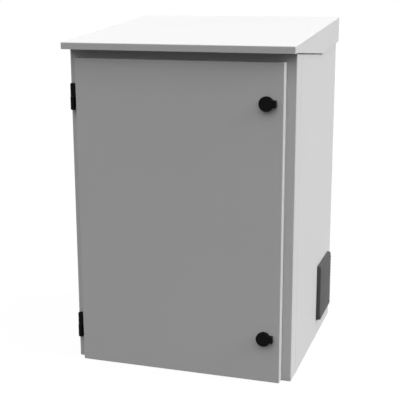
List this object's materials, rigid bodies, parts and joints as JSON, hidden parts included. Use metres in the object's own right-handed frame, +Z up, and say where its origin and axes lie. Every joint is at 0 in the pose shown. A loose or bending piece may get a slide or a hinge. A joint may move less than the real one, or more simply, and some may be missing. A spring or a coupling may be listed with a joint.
{
  "type": "roadside utility cabinet",
  "caption": "Upright sheet-steel outdoor cabinet with a hinged front door, sloped rain roof, side vents with a filter and fan, round quarter-turn locks and rack rails inside.",
  "frame": {"origin": "middle of the cabinet's footprint, roof overhang included, on the plane it stands on", "axes": "+Z up, the door faces -Y, +X to the right of someone facing the door"},
  "size_m": [0.6252, 0.604, 0.9143],
  "materials": {
    "powder_coat": "fine textured light grey powder coat",
    "galvanised_sheet": "passivated zinc on folded steel",
    "plated_fasteners": "bright zinc plating",
    "black_casting": "satin black coated casting",
    "black_plastic": "moulded black plastic",
    "lock_metal": "nickel plated casting",
    "vent_plastic": "moulded dark grey plastic",
    "fan_plastic": "glass filled black plastic",
    "filter_fleece": "white non-woven fleece",
    "foam_rubber": "closed-cell black foam",
    "grommet_rubber": "smooth black rubber",
    "washer_plastic": "natural nylon"
  },
  "bodies": {
    "cabinet": {"front_frame": "powder_coat", "right_side_panel": "powder_coat", "left_side_panel": "powder_coat", "back_panel": "powder_coat", "base_panel": "powder_coat", "top_panel": "powder_coat", "rain_roof": "powder_coat", "gland_plate": "galvanised_sheet", "cable_grommets": "grommet_rubber", "roof_rail_right": "galvanised_sheet", "roof_rail_left": "galvanised_sheet", "roof_bolts": "plated_fasteners", "rail_bolts": "plated_fasteners", "panel_screws": "plated_fasteners", "earth_stud": "plated_fasteners", "earth_nut": "plated_fasteners", "hinge_pins": "plated_fasteners", "hinge_washers": "washer_plastic", "hinge_frame_screws": "plated_fasteners", "intake_frame": "vent_plastic", "intake_seal": "foam_rubber", "intake_filter": "filter_fleece", "vent_screws": "plated_fasteners", "fan_housing": "fan_plastic", "fan_screws": "plated_fasteners", "exhaust_frame": "vent_plastic", "exhaust_seal": "foam_rubber", "exhaust_filter": "filter_fleece", "rack_rail_front_right": "galvanised_sheet", "rack_rail_front_left": "galvanised_sheet", "rack_rail_back_right": "galvanised_sheet", "rack_rail_back_left": "galvanised_sheet", "lower_brace_right": "galvanised_sheet", "lower_brace_left": "galvanised_sheet", "lower_hinge_body_half": "black_casting", "upper_brace_right": "galvanised_sheet", "upper_brace_left": "galvanised_sheet", "upper_hinge_body_half": "black_casting"},
    "door": {"door_panel": "powder_coat", "door_gasket": "foam_rubber", "door_stiffener_right": "powder_coat", "door_stiffener_left": "powder_coat", "hinge_door_screws": "plated_fasteners", "lock_nuts": "lock_metal", "lock_cover_pins": "plated_fasteners", "lower_hinge_door_half": "black_casting", "lower_lock_housing": "black_plastic", "upper_hinge_door_half": "black_casting", "upper_lock_housing": "black_plastic"},
    "lower_lock": {"lower_lock_core": "lock_metal", "lower_lock_cam": "galvanised_sheet", "lower_lock_cam_bolt": "plated_fasteners"},
    "lower_dust_cover": {"lower_lock_cover": "black_plastic"},
    "upper_lock": {"upper_lock_core": "lock_metal", "upper_lock_cam": "galvanised_sheet", "upper_lock_cam_bolt": "plated_fasteners"},
    "upper_dust_cover": {"upper_lock_cover": "black_plastic"},
    "intake_louvre": {"intake_cover": "vent_plastic"},
    "exhaust_louvre": {"exhaust_cover": "vent_plastic"},
    "fan": {"fan_rotor": "fan_plastic"}
  },
  "joints": [
    {"name": "door_hinge", "type": "hinge", "parent": "cabinet", "child": "door", "pos_m": [-0.2895, -0.27, 0.4145], "axis": [0, 0, -1], "range_deg": [0, 180]},
    {"name": "lower_lock_turn", "type": "hinge", "parent": "door", "child": "lower_lock", "pos_m": [0.232, -0.282, 0.122], "axis": [0, -1, 0], "range_deg": [0, 90]},
    {"name": "lower_dust_cover_flip", "type": "hinge", "parent": "door", "child": "lower_dust_cover", "pos_m": [0.253, -0.29, 0.122], "axis": [0, 0, 1], "range_deg": [0, 110], "stiffness_Nm_per_rad": 0.01, "springref_deg": -20.05},
    {"name": "upper_lock_turn", "type": "hinge", "parent": "door", "child": "upper_lock", "pos_m": [0.232, -0.282, 0.7275], "axis": [0, -1, 0], "range_deg": [0, 90]},
    {"name": "upper_dust_cover_flip", "type": "hinge", "parent": "door", "child": "upper_dust_cover", "pos_m": [0.253, -0.29, 0.7275], "axis": [0, 0, 1], "range_deg": [0, 110], "stiffness_Nm_per_rad": 0.01, "springref_deg": -20.05},
    {"name": "intake_louvre_pull", "type": "slide", "parent": "cabinet", "child": "intake_louvre", "axis": [1, 0, 0], "range_m": [0, 0.03]},
    {"name": "exhaust_louvre_pull", "type": "slide", "parent": "cabinet", "child": "exhaust_louvre", "axis": [-1, 0, 0], "range_m": [0, 0.03]},
    {"name": "fan_spin", "type": "hinge", "parent": "cabinet", "child": "fan", "pos_m": [0.267, 0.1615, 0.1315], "axis": [1, 0, 0], "continuous": true}
  ]
}
